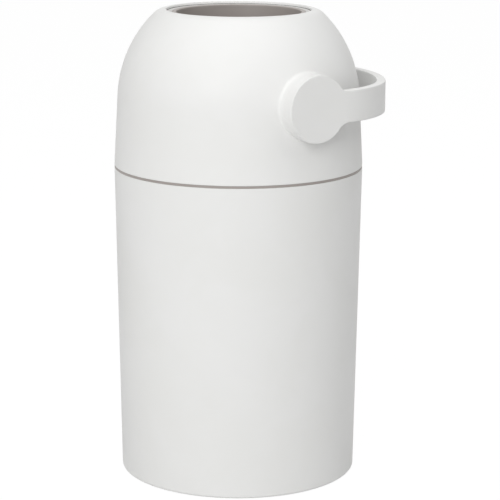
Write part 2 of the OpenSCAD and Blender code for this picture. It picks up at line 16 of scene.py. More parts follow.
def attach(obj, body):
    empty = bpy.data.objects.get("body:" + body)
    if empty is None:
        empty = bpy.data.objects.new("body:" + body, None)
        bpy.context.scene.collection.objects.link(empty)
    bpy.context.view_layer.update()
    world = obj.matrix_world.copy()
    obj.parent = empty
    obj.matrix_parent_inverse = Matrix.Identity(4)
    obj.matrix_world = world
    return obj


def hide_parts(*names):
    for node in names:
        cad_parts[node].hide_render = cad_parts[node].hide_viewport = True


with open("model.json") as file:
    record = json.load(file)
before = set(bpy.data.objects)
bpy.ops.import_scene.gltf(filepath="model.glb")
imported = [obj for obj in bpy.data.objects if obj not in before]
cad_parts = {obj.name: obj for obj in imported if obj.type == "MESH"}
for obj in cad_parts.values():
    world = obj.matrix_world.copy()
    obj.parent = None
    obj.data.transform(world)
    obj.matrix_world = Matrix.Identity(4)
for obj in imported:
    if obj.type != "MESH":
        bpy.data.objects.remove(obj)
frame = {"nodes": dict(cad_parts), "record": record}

Point = tuple[float, float]
Colour = tuple[float, float, float]

LOG = logging.getLogger("nappy_bin")
MM = 0.001
# How far a tool reaches past the face that it joins or cuts, in millimetres.
OVERRUN = 1.0
# How far a tool stands clear of all that it cuts, in millimetres.
CLEAR = 5.0
# Chords of a round, and of one that is too small to show them.
CHORDS = 6
FEW_CHORDS = 3
LATHE_STEPS = 256
# Points closer than this, in metres, become one.
WELD = 0.00001
# Edges sharper than this, in degrees, stay sharp.
SHARP_ANGLE = 32.0
# Height of the grain and of the tool marks, in metres.
BUMP_DEPTH = 0.00002
FULL_TURN = 360
QUARTERS = (0, 90, 180, 270)
DIAGONALS = (45, 135, 225, 315)
BOTH_SIDES = (1, -1)


class Sides(Enum):
    """How many flat sides a round rod has, by how closely it is seen."""

    SCREW_HOLE = 32
    PEG = 48
    BOSS = 64
    PIVOT = 192
    HUB = 256


def deselect_all() -> None:
    """Leaves object mode with nothing selected."""
    if bpy.context.mode != "OBJECT":
        ops.object.mode_set(mode="OBJECT")
    ops.object.select_all(action="DESELECT")


def make_active(piece: Object) -> None:
    """Selects one piece alone and makes it the active one.

    Args:
        piece: the object that the next operator works on.
    """
    deselect_all()
    piece.select_set(True)
    bpy.context.view_layer.objects.active = piece


def settle(piece: Object) -> Object:
    """Puts the piece's place into its mesh, so that its object sits at the origin.

    Args:
        piece: a finished mesh object.

    Returns:
        The same object.
    """
    make_active(piece)
    ops.object.transform_apply(location=True, rotation=True, scale=True)
    return piece


def adopt_new(name: str) -> Object:
    """Names the primitive that was just added, and settles it.

    Args:
        name: the piece's name, used for its mesh too.

    Returns:
        The new object.
    """
    piece = bpy.context.object
    piece.name = name
    piece.data.name = name
    return settle(piece)


def apply_modifier(piece: Object, kind: str, **settings: object) -> None:
    """Adds one modifier with its settings and applies it.

    Args:
        piece: the object to change.
        kind: Blender's name of the modifier's type.
        **settings: the modifier's own settings.
    """
    make_active(piece)
    modifier = piece.modifiers.new(kind.lower(), kind)
    for key, value in settings.items():
        setattr(modifier, key, value)
    ops.object.modifier_apply(modifier=modifier.name)


def boolean(piece: Object, tool: Object, operation: str) -> None:
    """Joins or cuts a piece with a tool, which is removed afterwards.

    Args:
        piece: the object to change.
        tool: the closed mesh to join to it or cut from it.
        operation: UNION, DIFFERENCE or INTERSECT.
    """
    apply_modifier(piece, "BOOLEAN", object=tool, operation=operation, solver="MANIFOLD")
    bpy.data.objects.remove(tool)


def arc(middle: Point, radius: float, start: float, end: float, steps: int) -> list[Point]:
    """Points along an arc, both ends included.

    Args:
        middle: the arc's middle.
        radius: its radius.
        start: angle of the first point in degrees.
        end: angle of the last point in degrees.
        steps: number of chords.

    Returns:
        The points in order.
    """
    angles = [math.radians(start + (end - start) * i / steps) for i in range(steps + 1)]
    return [(middle[0] + radius * math.cos(a), middle[1] + radius * math.sin(a)) for a in angles]


def rounded(
    corner: Point, before: Point, after: Point, radius: float, steps: int = CHORDS
) -> list[Point]:
    """Points of the round that replaces a corner of a profile.

    Args:
        corner: the sharp corner.
        before: the profile's point before it.
        after: the profile's point after it.
        radius: the round's radius.
        steps: number of chords.

    Returns:
        The round's points, from the side of before to the side of after.
    """
    here, back, on = Vector(corner), Vector(before), Vector(after)
    to_back, to_on = (back - here).normalized(), (on - here).normalized()
    half = to_back.angle(to_on) / 2
    reach = radius / math.tan(half)
    middle = here + (to_back + to_on).normalized() * radius / math.sin(half)
    first, last = here + to_back * reach - middle, here + to_on * reach - middle
    start, end = math.atan2(first.y, first.x), math.atan2(last.y, last.x)
    turn = (end - start + math.pi) % (2 * math.pi) - math.pi
    return arc((middle.x, middle.y), radius, math.degrees(start), math.degrees(start + turn), steps)


def face_outwards() -> None:
    """Turns the active piece's normals outwards, and leaves edit mode."""
    ops.object.mode_set(mode="EDIT")
    ops.mesh.select_all(action="SELECT")
    ops.mesh.normals_make_consistent(inside=False)
    ops.object.mode_set(mode="OBJECT")


def soften(corners: Sequence[Sequence[float]]) -> list[Point]:
    """Draws a section from its corners, some of which are rounded.

    Args:
        corners: each corner's radius and height in millimetres, and where it is rounded
            its round's radius, with the number of chords where it isn't the usual one.

    Returns:
        The section's points.
    """
    points = []
    for number, (across, up, *edge) in enumerate(corners):
        before, after = corners[number - 1][:2], corners[(number + 1) % len(corners)][:2]
        points += rounded((across, up), before, after, *edge) if edge else [(across, up)]
    return points


def lathe(name: str, profile: Sequence[Point], closed: bool) -> Object:
    """Turns a section, drawn point by point, round the upright axis into a closed shell.

    Args:
        name: the piece's name.
        profile: its points as radius and height in millimetres; an open one starts and
            ends on the axis.
        closed: whether the last point joins the first.

    Returns:
        The turned object, in object mode.
    """
    start = (profile[0][0] * MM, 0.0, profile[0][1] * MM)
    ops.mesh.primitive_plane_add(size=MM, location=start)
    piece = adopt_new(name)
    ops.object.mode_set(mode="EDIT")
    ops.mesh.select_mode(type="VERT")
    ops.mesh.select_all(action="SELECT")
    ops.mesh.merge(type="CENTER")
    for here, there in zip(profile, profile[1:]):
        step = ((there[0] - here[0]) * MM, 0.0, (there[1] - here[1]) * MM)
        ops.mesh.extrude_region_move(TRANSFORM_OT_translate={"value": step})
    if closed:
        ops.object.mode_set(mode="OBJECT")
        piece.data.vertices[0].select = True
        piece.data.vertices[len(piece.data.vertices) - 1].select = True
        ops.object.mode_set(mode="EDIT")
        ops.mesh.edge_face_add()
    ops.mesh.select_all(action="SELECT")
    ops.mesh.spin(steps=LATHE_STEPS, angle=2 * math.pi, center=(0, 0, 0), axis=(0, 0, 1))
    ops.mesh.select_all(action="SELECT")
    ops.mesh.remove_doubles(threshold=WELD)
    face_outwards()
    return piece


class Grain(Enum):
    """How strong a finish's fine texture is."""

    SATIN = 0.35
    TOOLED = 0.4
    SOFT = 0.6
    MATT = 1.0


def add_node(
    tree: NodeTree, kind: str, values: dict[str | int, object] | None = None, **settings: object
) -> Node:
    """Adds a shader node with its settings and its inputs' values.

    Args:
        tree: the tree to add it to.
        kind: Blender's name of the node's type.
        values: the values of inputs, by their name or number.
        **settings: the node's own settings.

    Returns:
        The node.
    """
    node = tree.nodes.new(kind)
    for key, value in settings.items():
        setattr(node, key, value)
    for key, value in (values or {}).items():
        node.inputs[key].default_value = value
    return node


def wire(tree: NodeTree, *links: tuple[Node, str, Node, str | int]) -> None:
    """Links outputs to inputs.

    Args:
        tree: the tree that holds the nodes.
        *links: for each link a node, its output, the next node and its input.
    """
    for source, output, target, entry in links:
        tree.links.new(source.outputs[output], target.inputs[entry])


class EffectGroups:
    """Shader effects that several finishes share, each built once as a node group."""

    grain_scale: float = 900.0
    cell_share: float = 0.6
    cloud_scale: float = 9.0
    marks_scale: float = 700.0
    marks_stretch: tuple[float, float, float] = (1.0, 1.0, 0.06)

    def __init__(self) -> None:
        """Builds every group."""
        self.mould_grain = self._mould_grain()
        self.handling = self._handling()
        self.tool_marks = self._tool_marks()

    @staticmethod
    def _new_group(
        name: str, scale: float, outputs: Sequence[str]
    ) -> tuple[NodeTree, Node, Node]:
        """Makes an empty group that takes a place and a scale.

        Args:
            name: the group's name.
            scale: the scale's default.
            outputs: the outputs' names.

        Returns:
            The group, its input node and its output node.
        """
        tree = bpy.data.node_groups.new(name, "ShaderNodeTree")
        sockets = tree.interface
        sockets.new_socket("Vector", in_out="INPUT", socket_type="NodeSocketVector")
        size = sockets.new_socket("Scale", in_out="INPUT", socket_type="NodeSocketFloat")
        size.default_value = scale
        for label in outputs:
            sockets.new_socket(label, in_out="OUTPUT", socket_type="NodeSocketFloat")
        return tree, tree.nodes.new("NodeGroupInput"), tree.nodes.new("NodeGroupOutput")

    def _mould_grain(self) -> NodeTree:
        """Fine pebbled surface of spark-eroded mould steel, as a height and a mask."""
        tree, source, sink = self._new_group("mould_grain", self.grain_scale, ("Height", "Mask"))
        fine = add_node(tree, "ShaderNodeTexNoise", {"Detail": 3.0, "Roughness": 0.55})
        cells = add_node(tree, "ShaderNodeTexVoronoi", {"Smoothness": 0.6}, feature="SMOOTH_F1")
        mix = add_node(tree, "ShaderNodeMath", {1: self.cell_share}, operation="MULTIPLY_ADD")
        spread = add_node(tree, "ShaderNodeMapRange", {"From Min": 0.3, "From Max": 0.7})
        wire(
            tree,
            (source, "Vector", fine, "Vector"), (source, "Scale", fine, "Scale"),
            (source, "Vector", cells, "Vector"), (source, "Scale", cells, "Scale"),
            (cells, "Distance", mix, 0), (fine, "Fac", mix, 2),
            (fine, "Fac", spread, "Value"), (mix, "Value", sink, "Height"),
            (spread, "Result", sink, "Mask"),
        )
        return tree

    def _handling(self) -> NodeTree:
        """Broad, faint cloudiness that hands and cloths leave on a smooth shell."""
        tree, source, sink = self._new_group("handling_marks", self.cloud_scale, ("Mask",))
        cloud = add_node(
            tree, "ShaderNodeTexNoise", {"Detail": 4.0, "Roughness": 0.62, "Distortion": 0.4}
        )
        spread = add_node(
            tree,
            "ShaderNodeMapRange",
            {"From Min": 0.36, "From Max": 0.68},
            interpolation_type="SMOOTHSTEP",
        )
        wire(
            tree,
            (source, "Vector", cloud, "Vector"), (source, "Scale", cloud, "Scale"),
            (cloud, "Fac", spread, "Value"), (spread, "Result", sink, "Mask"),
        )
        return tree

    def _tool_marks(self) -> NodeTree:
        """Fine turned or drawn lines on metal, stretched along one direction."""
        tree, source, sink = self._new_group("tool_marks", self.marks_scale, ("Height", "Mask"))
        stretch = add_node(tree, "ShaderNodeMapping", {"Scale": self.marks_stretch})
        lines = add_node(tree, "ShaderNodeTexNoise", {"Detail": 2.0})
        wire(
            tree,
            (source, "Vector", stretch, "Vector"), (stretch, "Vector", lines, "Vector"),
            (source, "Scale", lines, "Scale"), (lines, "Fac", sink, "Height"),
            (lines, "Fac", sink, "Mask"),
        )
        return tree


def place_group(tree: NodeTree, group: NodeTree) -> Node:
    """Places a shared group, which reads Object coordinates.

    Args:
        tree: the material's tree.
        group: the group to place.

    Returns:
        The group's node.
    """
    node = add_node(tree, "ShaderNodeGroup", node_tree=group)
    wire(tree, (add_node(tree, "ShaderNodeTexCoord"), "Object", node, "Vector"))
    return node


@dataclass(frozen=True)
class Finish:
    """A moulded finish, whose two tints, roughness and bump follow shared patterns."""

    name: str
    base: Colour
    rub: Colour
    roughness: tuple[float, float]
    grain: Grain
    specular: float = 0.5
    grain_share: float = 0.35

    def patterns(self, tree: NodeTree, shader: Node, groups: EffectGroups) -> list[tuple]:
        """Adds mould grain under the faint marks of handling.

        Args:
            tree: the material's tree.
            shader: its shader, which is set for this kind.
            groups: the shared node groups.

        Returns:
            The outputs that steer the tint, the roughness and the bump, each with its node.
        """
        shader.inputs["Specular IOR Level"].default_value = self.specular
        grain = place_group(tree, groups.mould_grain)
        marks = place_group(tree, groups.handling)
        both = add_node(tree, "ShaderNodeMath", {1: self.grain_share}, operation="MULTIPLY_ADD")
        wire(tree, (grain, "Mask", both, 0), (marks, "Mask", both, 2))
        return [(marks, "Mask"), (both, "Value"), (grain, "Height")]

    def material(self, groups: EffectGroups) -> Material:
        """Builds the finish from the shared groups.

        Args:
            groups: the shared node groups.

        Returns:
            The material.
        """
        material = bpy.data.materials.new(self.name)
        material.use_nodes = True
        tree = material.node_tree
        shader = tree.nodes["Principled BSDF"]
        tints = {"A": (*self.base, 1.0), "B": (*self.rub, 1.0)}
        limits = dict(zip(("To Min", "To Max"), self.roughness))
        depth = {"Strength": self.grain.value, "Distance": BUMP_DEPTH}
        tint = add_node(tree, "ShaderNodeMix", tints, data_type="RGBA")
        rough = add_node(tree, "ShaderNodeMapRange", limits)
        bump = add_node(tree, "ShaderNodeBump", depth)
        colour, wear, height = self.patterns(tree, shader, groups)
        wire(
            tree,
            (*colour, tint, "Factor"), (*wear, rough, "Value"),
            (*height, bump, "Height"), (tint, "Result", shader, "Base Color"),
            (rough, "Result", shader, "Roughness"), (bump, "Normal", shader, "Normal"),
        )
        return material


@dataclass(frozen=True)
class Metal(Finish):
    """A plated or bare metal finish."""

    def patterns(self, tree: NodeTree, shader: Node, groups: EffectGroups) -> list[tuple]:
        """Adds tool marks alone."""
        shader.inputs["Metallic"].default_value = 1.0
        marks = place_group(tree, groups.tool_marks)
        return [(marks, "Mask"), (marks, "Mask"), (marks, "Height")]


class Finishes:
    """Every finish of the bin, by the record's slot names, with a darker copy of the shell's white
    for the drum that paints in the shade under the mouth's lip.
    """

    recipes: tuple[Finish, ...] = (
        Finish(
            "white_shell", (0.8, 0.8, 0.79), (0.785, 0.785, 0.77), (0.53, 0.63), Grain.SATIN, 0.4
        ),
        # Painted shade: the drum's white plastic gets a darker copy of the shell's white, standing
        # in for the shade under the mouth's lip.
        Finish("drum_white", (0.6, 0.59, 0.575), (0.57, 0.56, 0.545), (0.5, 0.6), Grain.SATIN),
        Finish("grey_plastic", (0.35, 0.318, 0.297), (0.324, 0.294, 0.274), (0.4, 0.5), Grain.SOFT),
        Finish(
            "soft_rubber", (0.085, 0.081, 0.078), (0.07, 0.067, 0.065), (0.64, 0.8), Grain.MATT, 0.35
        ),
        Finish("bearing_plastic", (0.7, 0.7, 0.67), (0.66, 0.66, 0.62), (0.29, 0.39), Grain.SATIN),
        Finish(
            "axle_plastic", (0.015, 0.015, 0.017), (0.022, 0.022, 0.024), (0.32, 0.44), Grain.SATIN
        ),
        Metal("screw_steel", (0.62, 0.63, 0.66), (0.47, 0.48, 0.5), (0.208, 0.338), Grain.TOOLED),
        Metal("insert_brass", (0.66, 0.48, 0.2), (0.5, 0.35, 0.14), (0.24, 0.39), Grain.TOOLED),
    )

    def __init__(self) -> None:
        """Builds the shared effects and one material for each finish."""
        groups = EffectGroups()
        self.by_slot = {recipe.name: recipe.material(groups) for recipe in self.recipes}

    def dress(self, piece: Object, slot: str, finish: str = "") -> None:
        """Gives a piece one finish all over.

        Args:
            piece: the object to dress.
            slot: the record's material slot.
            finish: the finish's name, where it isn't the slot's own.
        """
        piece.data.materials.clear()
        piece.data.materials.append(self.by_slot[finish or slot])

    def dress_nodes(self) -> None:
        """Dresses each CAD node by the slot that the record gives it."""
        for part in frame["record"]["subparts"]:
            node = frame["nodes"][part["node"]]
            if not node.data.materials:
                node.data.materials.append(None)
            for place in range(len(node.data.materials)):
                node.data.materials[place] = self.by_slot[part["material_slot"]]


@dataclass(frozen=True)
class Sizes:
    """The bin's driving sizes in millimetres, under the names that the part's source gives them."""

    seam_h: float = 335.0
    seam_r: float = 132.4
    base_r: float = 126.5
    body_wall: float = 3.0
    base_round: float = 3.0
    floor_t: float = 5.0
    foot_lift: float = 1.0
    foot_r: float = 113.0
    foot_w: float = 10.0
    recess_r: float = 98.0
    recess_d: float = 2.0
    rib_t: float = 2.0
    ring_show: float = 2.5
    ring_inset: float = 0.2
    ring_wall: float = 2.5
    collar_d: float = 13.5
    spigot_h: float = 4.0
    ledge_w: float = 7.4
    ledge_t: float = 2.4
    notch_w: float = 12.0
    dome_r: float = 128.6
    dome_mid_h: float = 403.275
    dome_wall: float = 2.6
    lip_round: float = 16.0
    lip_t: float = 2.2
    lip_h: float = 500.0
    lip_mid_r: float = 78.5
    mouth_r: float = 76.5
    pivot_h: float = 411.0
    boss_x: float = 131.4
    boss_skin: float = 2.6
    bush_r: float = 10.45
    bush_flange_r: float = 13.95
    bush_x: float = 121.19
    stop_r: float = 24.0
    peg_r: float = 3.0
    peg_h: float = 4.0
    hub_r: float = 34.8
    hub_in_x: float = 131.8
    hub_x: float = 143.2
    grip_h: float = 33.2
    grip_t: float = 9.4
    grip_straight: float = 33.8
    grip_reach: float = 153.0
    bend_in: float = 37.4
    drum_r: float = 115.19
    drum_wall: float = 2.4
    drum_rim_r: float = 76.0
    drum_rim_h: float = 497.5
    cup_mouth_r: float = 70.6
    cup_r: float = 66.0
    cup_base_r: float = 62.0
    cup_wall: float = 2.0
    cup_floor_h: float = 323.01
    cup_round: float = 8.0
    seat_gap: float = 0.2
    lift_gap: float = 0.5

    def body_side(self, height: float) -> float:
        """Radius of the body's side at a height."""
        return self.base_r + (self.seam_r - self.base_r) * height / self.seam_h

    @property
    def body_top(self) -> float:
        """Height of the body's upper edge."""
        return self.seam_h - self.ring_show

    @property
    def collar_r(self) -> float:
        """Outer radius of the grey ring's collar."""
        return self.body_side(self.body_top - self.collar_d) - self.body_wall - self.seat_gap

    @property
    def ring_in_r(self) -> float:
        """Inner radius of the grey ring."""
        return self.collar_r - self.ring_wall

    @property
    def skirt(self) -> tuple[Vector, Vector]:
        """The dome's skirt, as its upward direction and the point where it meets the sphere."""
        edge = Vector((self.seam_r, self.seam_h))
        across = Vector((0.0, self.dome_mid_h)) - edge
        angle = math.atan2(across.y, across.x) - math.asin(self.dome_r / across.length)
        ahead = Vector((math.cos(angle), math.sin(angle)))
        return ahead, edge + ahead * math.sqrt(across.length_squared - self.dome_r**2)


def block(name: str, low: Sequence[float], high: Sequence[float]) -> Object:
    """Adds a box between two corners in millimetres.

    Args:
        name: the piece's name.
        low: its lowest corner.
        high: its highest corner.

    Returns:
        The box.
    """
    middle = [(a + b) / 2 * MM for a, b in zip(low, high)]
    spread = [(b - a) * MM for a, b in zip(low, high)]
    ops.mesh.primitive_cube_add(size=1.0, location=middle, scale=spread)
    return adopt_new(name)


def rod(
    name: str, start: Sequence[float], end: Sequence[float], radius: float, sides: Sides
) -> Object:
    """Adds a round rod between two points in millimetres.

    Args:
        name: the piece's name.
        start: the middle of one end.
        end: the middle of the other end.
        radius: its radius.
        sides: how closely it is seen.

    Returns:
        The rod.
    """
    first, last = Vector(start) * MM, Vector(end) * MM
    along = last - first
    ops.mesh.primitive_cylinder_add(
        vertices=sides.value,
        radius=radius * MM,
        depth=along.length,
        location=(first + last) / 2,
        rotation=along.to_track_quat("Z", "Y").to_euler(),
    )
    return adopt_new(name)


def prism(
    name: str, outline: Sequence[Point], low: float, high: float, along: str
) -> Object:
    """Extrudes an outline along X or Z.

    Args:
        name: the piece's name.
        outline: its corners in millimetres, in the plane of Y and Z or of X and Y.
        low: where the outline stands.
        high: where the extrusion ends.
        along: "X" or "Z".

    Returns:
        The prism.
    """
    ops.mesh.primitive_circle_add(vertices=len(outline), radius=MM, fill_type="NGON")
    piece = adopt_new(name)
    for vertex, (first, second) in zip(piece.data.vertices, outline):
        place = (low, first, second) if along == "X" else (first, second, low)
        vertex.co = Vector(place) * MM
    step = Vector((high - low, 0, 0) if along == "X" else (0, 0, high - low)) * MM
    ops.object.mode_set(mode="EDIT")
    ops.mesh.select_all(action="SELECT")
    ops.mesh.extrude_region_move(TRANSFORM_OT_translate={"value": step})
    face_outwards()
    return piece


def join(pieces: Sequence[Object]) -> Object:
    """Joins several pieces into the first one.

    Args:
        pieces: the objects to join.

    Returns:
        The first object.
    """
    make_active(pieces[0])
    for piece in pieces[1:]:
        piece.select_set(True)
    ops.object.join()
    return pieces[0]


def turned(piece: Object, degrees: float) -> Object:
    """Turns a settled piece round the upright axis.

    Args:
        piece: an object whose place is in its mesh.
        degrees: how far it turns.

    Returns:
        The same object.
    """
    piece.rotation_euler.z = math.radians(degrees)
    return settle(piece)


def smooth(piece: Object) -> None:
    """Shades a piece smoothly, with its flat faces kept flat.

    Args:
        piece: the finished object.
    """
    make_active(piece)
    ops.object.shade_smooth_by_angle(angle=math.radians(SHARP_ANGLE))
    apply_modifier(piece, "WEIGHTED_NORMAL", weight=70, keep_sharp=True)


@dataclass
class Piece:
    """A visible piece that stands for CAD nodes and rides on one of the bin's bodies."""

    sizes: Sizes
    name: ClassVar[str] = ""
    body: ClassVar[str] = ""
    nodes: ClassVar[tuple[str, ...]] = ()
    slot: ClassVar[str] = "white_shell"
    finish: ClassVar[str] = ""

    def on_pivot(self, name: str, near: float, far: float, radius: float) -> Object:
        """A round rod on the handle's axis on both sides of the bin.

        Args:
            name: the rods' name.
            near: where they start along X.
            far: where they end.
            radius: their radius.

        Returns:
            Both rods as one object.
        """
        height = self.sizes.pivot_h
        rods = [
            rod(name, (side * near, 0, height), (side * far, 0, height), radius, Sides.PIVOT)
            for side in BOTH_SIDES
        ]
        return join(rods)

    def lift(self, tool: Object) -> Object:
        """Raises a tool from the origin to the height of the handle's axis.

        Args:
            tool: the object to raise.

        Returns:
            The same object.
        """
        tool.location.z = self.sizes.pivot_h * MM
        return settle(tool)

    def shape(self) -> Object:
        """Builds the mesh.

        Returns:
            The new object.
        """
        raise NotImplementedError

    def build(self, finishes: Finishes) -> None:
        """Builds, dresses and seats the piece in place of its nodes.

        Args:
            finishes: the bin's finishes.
        """
        piece = self.shape()
        smooth(piece)
        finishes.dress(piece, self.slot, self.finish)
        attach(piece, self.body)
        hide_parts(*self.nodes)
        LOG.info("%s: %d faces", self.name, len(piece.data.polygons))


@dataclass
class BodyShell(Piece):
    """The tapered body with its soft upper edge, its foot's groove and its ribbed recess."""

    name = "body_moulding"
    body = "bin"
    nodes = ("body_shell",)
    rib_count: int = 8
    soft_edge: float = 0.8

    def shape(self) -> Object:
        """Turns the body's section and adds the recess's ribs."""
        s = self.sizes
        low, top = s.foot_lift, s.body_top
        recess_top = low + s.recess_d
        groove_in, groove_out = s.foot_r - s.foot_w / 2, s.foot_r + s.foot_w / 2
        top_in, floor = s.body_side(top) - s.body_wall, low + s.floor_t
        profile = soften([
            (0.0, recess_top),
            (s.recess_r, recess_top), (s.recess_r, low),
            (groove_in, low), (groove_in, recess_top),
            (groove_out, recess_top), (groove_out, low),
            (s.body_side(low), low, s.base_round),
            (s.body_side(top), top, self.soft_edge),
            (top_in, top, self.soft_edge),
            (s.body_side(floor) - s.body_wall, floor, s.rib_t),
            (0.0, floor),
        ])
        piece = lathe(self.name, profile, closed=False)
        half = s.rib_t / 2
        reach = s.recess_r + half
        for turn in range(self.rib_count // 2):
            bar = block("rib", (-reach, -half, low), (reach, half, recess_top + OVERRUN))
            boolean(piece, turned(bar, FULL_TURN * turn / self.rib_count), "UNION")
        return piece


@dataclass
class GreyRing(Piece):
    """The grey ring in the seam, with its collar, its spigot and the bag ring's ledge."""

    name = "seam_ring"
    body = "bin"
    nodes = ("rim_ring",)
    slot = "grey_plastic"
    soft_edge: float = 0.5

    def shape(self) -> Object:
        """Turns the ring's section and cuts the notches that locate the lid."""
        s = self.sizes
        bottom, top = s.body_top - s.collar_d, s.seam_h + s.spigot_h
        show_r, ledge_r = s.seam_r - s.ring_inset, s.ring_in_r - s.ledge_w
        ledge_h, soft = bottom + s.ledge_t, self.soft_edge
        profile = soften([
            (s.collar_r, bottom), (s.collar_r, s.body_top),
            (show_r, s.body_top, soft / 2, FEW_CHORDS),
            (show_r, s.seam_h, soft / 2, FEW_CHORDS),
            (s.collar_r, s.seam_h),
            (s.collar_r, top, soft, FEW_CHORDS),
            (s.ring_in_r, top, soft, FEW_CHORDS),
            (s.ring_in_r, ledge_h),
            (ledge_r, ledge_h, soft, FEW_CHORDS),
            (ledge_r, bottom, soft, FEW_CHORDS),
        ])
        piece = lathe(self.name, profile, closed=True)
        reach, half = s.seam_r + CLEAR, s.notch_w / 2
        for across, ahead in ((reach, half), (half, reach)):
            notch = block("notch", (-across, -ahead, s.seam_h), (across, ahead, top + CLEAR))
            boolean(piece, notch, "DIFFERENCE")
        return piece


@dataclass
class Dome(Piece):
    """The domed lid with its rounded lip, its two bosses and what it carries inside."""

    name = "dome_moulding"
    body = "lid"
    nodes = ("dome_shell",)
    foot: float = 4.0
    foot_sunk: float = 1.2
    foot_steps: int = 22
    foot_turns: int = 224
    soft_edge: float = 0.8
    lip_edge: float = 0.9
    outer_steps: int = 44
    lip_steps: int = 18
    inner_steps: int = 30
    gasket_ledge: tuple[float, float] = (341.2, 343.2)
    seal_rib_r: float = 83.31
    seal_rib_h: float = 492.7
    cradle_screw_at: float = 118.92
    cradle_top: float = 338.4
    screw_boss_r: float = 4.5
    screw_boss_l: float = 20.0
    screw_bore_r: float = 1.85
    web_gap: float = 0.4

    def _outside(self) -> list[Point]:
        """Points of the outside from the seam up to the mouth."""
        s = self.sizes
        _, touch = s.skirt
        middle, seam = (0.0, s.dome_mid_h), (s.seam_r, s.seam_h)
        start = math.degrees(math.atan2(touch.y - s.dome_mid_h, touch.x))
        lip_mid = (s.lip_mid_r, s.lip_h - s.lip_round)
        end = math.degrees(math.atan2(lip_mid[1] - s.dome_mid_h, lip_mid[0]))
        lip, under = (s.mouth_r, s.lip_h), (s.mouth_r, s.lip_h - s.lip_t)
        points = rounded(seam, (0.0, s.seam_h), (touch.x, touch.y), self.soft_edge)
        points += arc(middle, s.dome_r, start, end, self.outer_steps)
        points += arc(lip_mid, s.lip_round, end, 90.0, self.lip_steps)[1:]
        points += rounded(lip, points[-1], under, self.lip_edge)
        return points

    def _inside(self) -> list[Point]:
        """Points of the inside from under the lip down to the seam."""
        s = self.sizes
        inner_r = s.dome_r - s.dome_wall
        ahead, touch = s.skirt
        out = Vector((ahead.y, -ahead.x))
        foot = Vector((s.seam_r, s.seam_h)) - out * s.dome_wall
        skirt_top = touch - out * s.dome_wall
        under = s.lip_h - s.lip_t
        rib_out = self.seal_rib_r + s.rib_t
        start = math.degrees(math.acos(rib_out / inner_r))
        end = math.degrees(math.atan2(skirt_top.y - s.dome_mid_h, skirt_top.x))
        ledge_low, ledge_high = self.gasket_ledge
        ledge_r = s.ring_in_r + s.seat_gap

        def skirt_in(height: float) -> Point:
            """The skirt's inner face at a height."""
            return (foot.x + (height - foot.y) * ahead.x / ahead.y, height)

        points = [(s.mouth_r, under), (self.seal_rib_r, under)]
        points += [(self.seal_rib_r, self.seal_rib_h), (rib_out, self.seal_rib_h)]
        points += arc((0.0, s.dome_mid_h), inner_r, start, end, self.inner_steps)
        points += [skirt_in(ledge_high), (ledge_r, ledge_high), (ledge_r, ledge_low)]
        points += [skirt_in(ledge_low), skirt_in(s.seam_h)]
        return points

    def _boss_fittings(self, side: int) -> list[Object]:
        """A boss's stop peg and the ribs round its bush, as tools to join.

        Args:
            side: 1 for the boss on +X, -1 for the other one.

        Returns:
            The tools.
        """
        s = self.sizes
        peg_h, half = s.pivot_h - s.stop_r, s.rib_t / 2
        peg_in, peg_out = side * (s.boss_x - OVERRUN), side * (s.boss_x + s.peg_h)
        tools = [rod("peg", (peg_in, 0, peg_h), (peg_out, 0, peg_h), s.peg_r, Sides.PEG)]
        core_r = s.hub_r - s.boss_skin + OVERRUN
        rib_in, rib_out = s.bush_x + 2 * OVERRUN, s.boss_x - s.boss_skin + OVERRUN
        low, high = sorted((side * rib_in, side * rib_out))
        for turn in DIAGONALS:
            rib = block("rib", (low, s.bush_r, -half), (high, core_r, half))
            rib.rotation_euler.x = math.radians(turn)
            tools.append(self.lift(settle(rib)))
        return tools

    def _rim_fittings(self) -> list[Object]:
        """Lugs that locate the lid, and the cradle's screw bosses, as tools to join."""
        s = self.sizes
        half, web_half = s.notch_w / 2 - s.lift_gap, s.rib_t / 2
        lug_low, lug_high = s.seam_h + s.lift_gap, s.seam_h + s.spigot_h - s.lift_gap
        lug_in, wall_in = s.ring_in_r + s.lift_gap, s.seam_r - s.dome_wall
        screw, low, top = self.cradle_screw_at, self.cradle_top, self.cradle_top + self.screw_boss_l
        web_low, web_out = self.gasket_ledge[0], wall_in - self.web_gap
        tools = []
        for straight, between in zip(QUARTERS, DIAGONALS):
            lug = block("lug", (lug_in, -half, lug_low), (wall_in + OVERRUN, half, lug_high))
            tools.append(turned(lug, straight))
            boss = rod("boss", (screw, 0, low), (screw, 0, top), self.screw_boss_r, Sides.BOSS)
            web = block("web", (screw, -web_half, web_low), (web_out, web_half, top))
            tools += [turned(boss, between), turned(web, between)]
        return tools

    def _bores(self) -> list[Object]:
        """Bores for the bushes and for the cradle's screws, as tools to cut."""
        s = self.sizes
        bush_in, bush_out = s.bush_x - OVERRUN, s.boss_x + OVERRUN
        tools = [self.on_pivot("bore", bush_in, bush_out, s.bush_r + s.seat_gap / 2)]
        start = (self.cradle_screw_at, 0, self.cradle_top - OVERRUN / 2)
        end = (self.cradle_screw_at, 0, self.cradle_top + self.screw_boss_l - s.rib_t)
        for turn in DIAGONALS:
            bore = rod("bore", start, end, self.screw_bore_r, Sides.SCREW_HOLE)
            tools.append(turned(bore, turn))
        return tools

